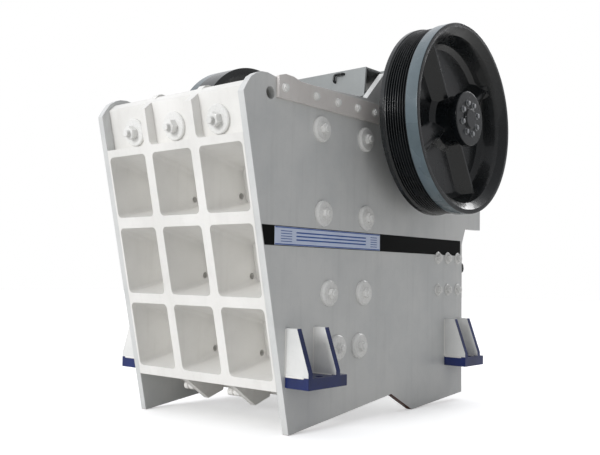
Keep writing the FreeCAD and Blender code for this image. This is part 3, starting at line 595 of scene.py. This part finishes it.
BAND_LOW, BAND_HIGH, BAND_REAR = 1090, 1205, 2458
PANEL_FRONT, PANEL_REAR, PANEL_INSET = 275, 1347, 4
for word, side in SIDES:
    nose = WALL_RUN - WALL_LEAN * BAND_LOW + 6
    slant = -WALL_LEAN * (BAND_HIGH - BAND_LOW)
    band = (BAND_LOW, BAND_HIGH)
    painted_patch(f"{word}_band", side, (nose, BAND_REAR), band, 0.0, 1.5, BAND_BLACK, slant)
    panel = (BAND_LOW + PANEL_INSET, BAND_HIGH - PANEL_INSET)
    painted_patch(f"{word}_panel", side, (PANEL_FRONT, PANEL_REAR), panel, 1.5, 1.5, PANEL_BLUE)
    for index, level in enumerate((1096, 1193)):
        border = (PANEL_FRONT + 4, PANEL_REAR - 4)
        navy_line(f"{word}_panel_border_{index + 1}", side, border, level, 6)
    for index, level in enumerate((1114, 1129, 1144, 1159, 1174)):
        navy_line(f"{word}_front_panel_line_{index + 1}", side, (330, 430), level, 4)
        navy_line(f"{word}_rear_panel_line_{index + 1}", side, (1236, 1310), level, 4)
    for index, level in enumerate((1124, 1145, 1166)):
        navy_line(f"{word}_panel_bar_{index + 1}", side, (470, 1182), level, 8)


# ------------------------------------------------------------------ welds
def weld_run(shape, start, finish, radius_mm, seed):
    """A fillet weld: a rope of small overlapping ripples from start to finish."""
    a, b = Vector(start), Vector(finish)
    run = b - a
    along = run.normalized()
    side = along.orthogonal().normalized()
    lift = along.cross(side)
    ripple_mm, around = 5.5, 8
    count = max(int(run.length / (ripple_mm * MM)), 4)
    rings = []
    for i in range(count * 2 + 1):
        t = i / (count * 2)
        ripple = 1.0 if i % 2 == 0 else 0.86
        swell = 1 + 0.1 * noise.noise(Vector((t * run.length * 30, seed * 7.3, 0)))
        taper = min(1.0, 0.35 + min(t, 1 - t) * count * 0.6)
        radius = radius_mm * MM * ripple * swell * taper
        centre = a + run * t
        ring = []
        for k in range(around):
            angle = math.pi * 2 * k / around
            spot = centre + side * radius * math.cos(angle) + lift * radius * math.sin(angle)
            ring.append(shape.verts.new(spot))
        rings.append(ring)
    for below, above in zip(rings, rings[1:]):
        for k in range(around):
            j = (k + 1) % around
            shape.faces.new((below[k], below[j], above[j], above[k]))
    shape.faces.new(rings[0][::-1])
    shape.faces.new(rings[-1])


GUSSET_THICK, GUSSET_SPREAD, WELD = 40, 0.79, 6


def foot_welds(word, side, place, front, run):
    """Beads down both faces of each gusset, out along its foot, and along the base plate; front
    and run are where the base plate starts and how far back it goes."""
    low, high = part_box(f"{word}_{place}_foot")
    wall = low[0] if side > 0 else high[0]
    outer = wall + side * 140 * MM
    base_top = low[2] + 66 * MM
    crown = high[2] - 4 * MM
    shape = bmesh.new()
    seed = 1
    for gap in (0, GUSSET_SPREAD * (run - GUSSET_THICK)):
        for edge in (front + gap, front + gap + GUSSET_THICK):
            y = across(edge)
            weld_run(shape, (wall, y, base_top), (wall, y, crown), WELD, seed)
            weld_run(shape, (wall, y, base_top), (outer, y, base_top), WELD, seed + 0.5)
            seed += 1
    for level in (base_top, low[2]):
        weld_run(shape, (wall, low[1], level), (wall, high[1], level), WELD, seed)
        seed += 1
    name = f"{word}_{place}_foot_welds"
    new_piece(name, mesh_from(shape, name, 60), "frame", WHITE)


for word, side in SIDES:
    foot_welds(word, side, "front", 388, 368)
    foot_welds(word, side, "rear", 2220, 282)


# ------------------------------------------------------------------ spring on the tension rod
def spring_coil():
    """A wound spring of round wire around the tension rod, its end turns closed."""
    side = Vector((1, 0, 0))
    lift = ROD_ALONG.cross(side)
    first, last, radius, wire = 1032, 1246, 47, 9
    turns, steps = 8, 28
    curve = bpy.data.curves.new("tension_spring_coil", "CURVE")
    curve.dimensions = "3D"
    curve.bevel_depth = wire * MM
    curve.bevel_resolution = 4
    curve.use_fill_caps = True
    line = curve.splines.new("POLY")
    count = turns * steps + 1
    line.points.add(count - 1)
    for i in range(count):
        t = i / (count - 1)
        eased = t - 0.035 * math.sin(4 * math.pi * t)
        s = first + wire + (last - first - 2 * wire) * eased
        angle = 2 * math.pi * turns * t
        spot = ROD_START + ROD_ALONG * s * MM
        spot += (side * math.cos(angle) + lift * math.sin(angle)) * radius * MM
        line.points[i].co = (*spot, 1)
    piece = bpy.data.objects.new("tension_spring_coil", curve)
    bpy.context.scene.collection.objects.link(piece)
    curve.materials.append(BAR_BLACK)
    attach(piece, "frame")
    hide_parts("tension_spring")


spring_coil()


def tension_nut():
    """The nut that loads the spring, with its thick turned washer."""
    place = pointing(ROD_START + ROD_ALONG * 1248 * MM, ROD_ALONG)
    shape = bmesh.new()
    turned(shape, ((28, 0), (66, 0), (66, 14), (64, 18), (28, 18)), place, segments=40)
    hex_nut(shape, place, 41, 18, 58)
    mesh = mesh_from(shape, "tension_nut_dressed", 32)
    new_piece("tension_nut_dressed", mesh, "frame", STEEL, ("tension_nut",))


tension_nut()


# ------------------------------------------------------------------ handle, catches and keel pins
def bent_bar(name, spots, radius_mm):
    """A bent round bar on the frame through the given places, its corners drawn round."""
    bend, steps = radius_mm * 2 * MM, 6
    rounded = [spots[0]]
    for before, corner, after in zip(spots, spots[1:], spots[2:]):
        start = corner + (before - corner).normalized() * bend
        finish = corner + (after - corner).normalized() * bend
        for i in range(steps):
            t = i / (steps - 1)
            rounded.append(start * (1 - t) ** 2 + corner * 2 * t * (1 - t) + finish * t * t)
    rounded.append(spots[-1])
    curve = bpy.data.curves.new(name, "CURVE")
    curve.dimensions = "3D"
    curve.bevel_depth = radius_mm * MM
    curve.bevel_resolution = 3
    curve.use_fill_caps = True
    line = curve.splines.new("POLY")
    line.points.add(len(rounded) - 1)
    for point, spot in zip(line.points, rounded):
        point.co = (*spot, 1)
    curve.materials.append(BAR_BLACK)
    piece = bpy.data.objects.new(name, curve)
    bpy.context.scene.collection.objects.link(piece)
    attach(piece, "frame")


def hood_handle():
    """A bent bar handle whose ends are welded into the hood's leaning front face."""
    left, right = 331 * MM, 402 * MM
    low, high = 2258 * MM, 2306 * MM
    face_low, face_high = across(1262), across(1267)
    stand, sunk = 17 * MM, 6 * MM
    spots = (
        Vector((left, face_low + sunk, low)),
        Vector((left, face_low - stand, low)),
        Vector((left, face_high - stand, high)),
        Vector((right, face_high - stand, high)),
        Vector((right, face_high + sunk, high)),
    )
    bent_bar("hood_handle", spots, 9)


hood_handle()


def edge_latch(word, side):
    """A small catch fixed to the rear edge of the side plate, set 1 mm into it."""
    half_width, bottom = 17, 962
    profile = ((-1, 0), (22, 10), (30, 30), (24, 58), (8, 72), (-1, 74))
    shape = bmesh.new()
    cheeks = []
    for sign in (-1, 1):
        x = (side * (PLATE_FACE - 16) + sign * half_width) * MM
        places = [(x, across(REAR_EDGE + out), (bottom + up) * MM) for out, up in profile]
        cheek = [shape.verts.new(place) for place in places]
        shape.faces.new(cheek)
        cheeks.append(cheek)
    near, far = cheeks
    for i in range(len(profile)):
        j = (i + 1) % len(profile)
        shape.faces.new((near[i], near[j], far[j], far[i]))
    name = f"{word}_edge_latch"
    round_edges(new_piece(name, mesh_from(shape, name), "frame", BAR_BLACK), 2)


for word, side in SIDES:
    edge_latch(word, side)


def keel_pins():
    """Grooved pin ends on the left of each keel and of the right side plate, under the wall."""
    plate_inside = PLATE_FACE - PLATE_THICK
    shape = bmesh.new()
    for start, reach in ((-KEEL_FAR, 84), (KEEL_NEAR, 104), (plate_inside, 88)):
        place = pointing(Vector((start * MM, across(520), 188 * MM)), (-1, 0, 0))
        waist = reach * 0.5
        profile = ((24, -1), (24, waist - 8), (16, waist - 3), (16, waist + 3), (24, waist + 8))
        turned(shape, (*profile, (24, reach - 5), (19, reach)), place, segments=28)
    new_piece("keel_pins", mesh_from(shape, "keel_pins"), "frame", WHITE)


keel_pins()


# ------------------------------------------------------------------ floor, lights and camera
def make_floor():
    """A pale paper floor: white to the camera, and a little duller to the light it bounces."""
    size = 30.0
    mesh = bpy.data.meshes.new("studio_floor")
    corners = [(-size, -size, 0), (size, -size, 0), (size, size, 0), (-size, size, 0)]
    mesh.from_pydata(corners, [], [(0, 1, 2, 3)])
    floor = bpy.data.objects.new("studio_floor", mesh)
    bpy.context.scene.collection.objects.link(floor)
    made, tree, shader = new_material("pale_studio_floor", 0.9)
    place = node(tree, "TexCoord", out="Object")
    cloud = node(tree, "TexNoise", {"Vector": place, "Scale": per_metre(900), "Detail": 3.0})
    paper = node(tree, "ValToRGB", {0: cloud}, stops=((0.3, "#F4F4F4"), (0.7, "#FAFAFA")))
    tree.links.new(paper, shader.inputs["Base Color"])
    shader.inputs["Emission Color"].default_value = hex_colour("#FFFFFF")
    shader.inputs["Emission Strength"].default_value = 0.42
    dim = node(tree, "BsdfDiffuse", {"Color": hex_colour("#D6D5D2")})
    seen = node(tree, "LightPath", out="Is Camera Ray")
    both = node(tree, "MixShader", {0: seen, 1: dim, 2: shader.outputs[0]})
    tree.links.new(both, tree.nodes["Material Output"].inputs["Surface"])
    mesh.materials.append(made)


def soft_light(name, place, target, size, power):
    """A soft box at place, turned towards target."""
    lamp = bpy.data.lights.new(name, "AREA")
    lamp.shape = "RECTANGLE"
    lamp.size, lamp.size_y = size
    lamp.energy = power
    holder = bpy.data.objects.new(name, lamp)
    holder.location = place
    aim = Vector(target) - Vector(place)
    holder.rotation_euler = aim.to_track_quat("-Z", "Y").to_euler()
    bpy.context.scene.collection.objects.link(holder)


def broad_light(name, towards, spread, power):
    """An even, far-off light whose soft edge is spread degrees wide."""
    lamp = bpy.data.lights.new(name, "SUN")
    lamp.angle = math.radians(spread)
    lamp.energy = power
    holder = bpy.data.objects.new(name, lamp)
    holder.rotation_euler = Vector(towards).to_track_quat("-Z", "Y").to_euler()
    bpy.context.scene.collection.objects.link(holder)


def make_camera():
    """Eye-level view of the front wall and the drive side."""
    yaw, pitch, roll = 0.7224, 0.0535, 0.0159
    right = Vector((math.cos(yaw), math.sin(yaw), 0))
    ahead = Vector((-math.sin(yaw), math.cos(yaw), 0))
    up = Vector((0, 0, 1))
    look = ahead * math.cos(pitch) + up * math.sin(pitch)
    rise = up * math.cos(pitch) - ahead * math.sin(pitch)
    side = right * math.cos(roll) + rise * math.sin(roll)
    top = rise * math.cos(roll) - right * math.sin(roll)
    lens = bpy.data.cameras.new("camera")
    lens.lens = 48.75
    lens.sensor_width = 36
    lens.shift_x = 0.0544
    lens.shift_y = 0.0068
    eye = bpy.data.objects.new("camera", lens)
    turn = Matrix((side, top, -look)).transposed().to_4x4()
    eye.matrix_world = Matrix.Translation((3.6645, -4.5984, 0.9201)) @ turn
    bpy.context.scene.collection.objects.link(eye)
    bpy.context.scene.camera = eye


def make_world():
    """A white studio: full white behind the machine, softer where it only lights it, and
    dimmest towards the drive side."""
    world = bpy.data.worlds.new("studio")
    world.use_nodes = True
    tree = world.node_tree
    light = tree.nodes["Background"]
    light.inputs["Color"].default_value = hex_colour("#F8F9FC")
    direction = node(tree, "TexCoord", out="Generated")
    drive_side = node(tree, "SeparateXYZ", {"Vector": direction}, "X")
    fall = {"Value": drive_side, "From Min": -0.3, "From Max": 0.55, "To Min": 0.98, "To Max": 0.36}
    tree.links.new(node(tree, "MapRange", fall), light.inputs["Strength"])
    behind = node(tree, "Background", {"Color": hex_colour("#FFFFFF"), "Strength": 1.0})
    seen = node(tree, "LightPath", out="Is Camera Ray")
    both = node(tree, "MixShader", {0: seen, 1: light.outputs[0], 2: behind})
    tree.links.new(both, tree.nodes["World Output"].inputs["Surface"])
    bpy.context.scene.world = world


make_floor()
make_world()
make_camera()
broad_light("key_light", (0.10, 0.96, -0.26), 20, 1.5)
soft_light("rear_light", (1.0, 8.0, 6.0), (0, 0.5, 1.4), (4.0, 3.0), 200)
bpy.context.scene.view_settings.view_transform = "Standard"
